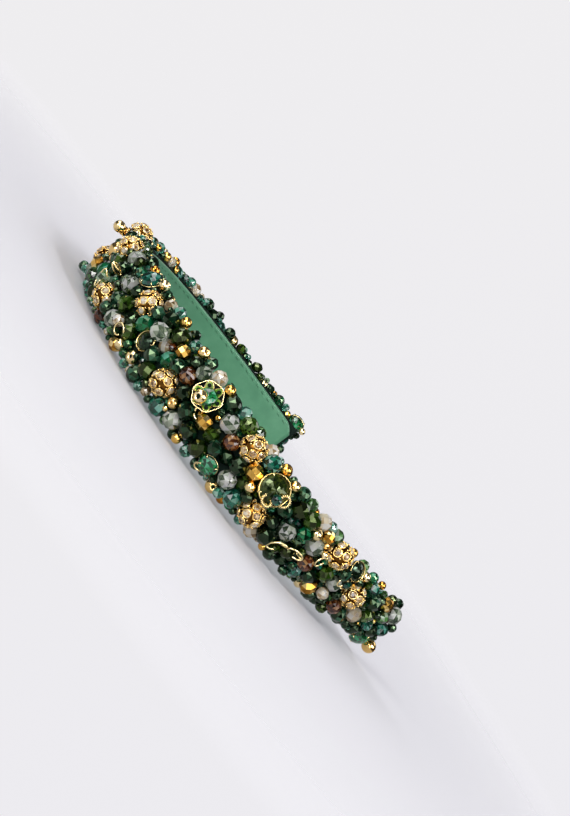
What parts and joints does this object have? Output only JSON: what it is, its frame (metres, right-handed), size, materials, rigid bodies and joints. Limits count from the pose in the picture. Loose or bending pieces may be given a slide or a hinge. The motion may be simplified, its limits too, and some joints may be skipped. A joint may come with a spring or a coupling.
{
  "type": "beaded headband",
  "caption": "Horseshoe headband of ribbon-covered strip, its outside covered with a thick field of sewn faceted beads, crystal-set gold balls, cups and enamel flowers.",
  "frame": {"origin": "middle of the footprint, on the surface that the headband lies on with its front edge down", "axes": "+X towards the wearer's left, +Y from the crown down to the tips, +Z from the band's front edge up to its back edge"},
  "size_m": [0.169, 0.1412, 0.0293],
  "materials": {
    "ribbon": "satin ribbon, pale green, folded over the strip's edges",
    "bead_mix": "faceted glass beads, mostly dark emerald, with teal, olive, topaz and gold ones",
    "gold": "warm gold lattice, polished, set with small crystals",
    "pale_gold": "pale gold, polished",
    "clear_glass": "clear cut crystal",
    "emerald_glass": "emerald green cut stone in a gold rim",
    "dark_glass": "dark olive cut stone in a gold rim",
    "teal_glass": "teal cut stone in a gold rim",
    "enamel": "translucent green enamel petals with a gold edge"
  },
  "bodies": {
    "root": {"strip": "ribbon", "bead_field_left": "bead_mix", "bead_field_right": "bead_mix", "pave_ball_01": "gold", "pave_ball_02": "gold", "pave_ball_03": "gold", "pave_ball_04": "gold", "pave_ball_05": "gold", "pave_ball_06": "gold", "pave_ball_07": "gold", "pave_ball_08": "gold", "pave_ball_09": "gold", "pave_ball_10": "gold", "pave_ball_11": "gold", "pave_ball_12": "gold", "pave_ball_13": "gold", "pave_ball_14": "gold", "clear_crystal_01": "clear_glass", "clear_crystal_02": "clear_glass", "clear_crystal_03": "clear_glass", "clear_crystal_04": "clear_glass", "clear_crystal_05": "clear_glass", "clear_crystal_06": "clear_glass", "clear_crystal_07": "clear_glass", "clear_crystal_08": "clear_glass", "clear_crystal_09": "clear_glass", "clear_crystal_10": "clear_glass", "emerald_cup_01": "emerald_glass", "emerald_cup_02": "emerald_glass", "emerald_cup_03": "emerald_glass", "emerald_cup_04": "emerald_glass", "dark_cup_01": "dark_glass", "dark_cup_02": "dark_glass", "teal_cup_01": "teal_glass", "flower_01": "enamel", "flower_02": "enamel", "rivoli_01": "dark_glass", "rivoli_02": "dark_glass", "drilled_ball_01": "pale_gold", "drilled_ball_02": "pale_gold", "drilled_ball_03": "pale_gold", "drilled_ball_04": "pale_gold"}
  },
  "joints": []
}
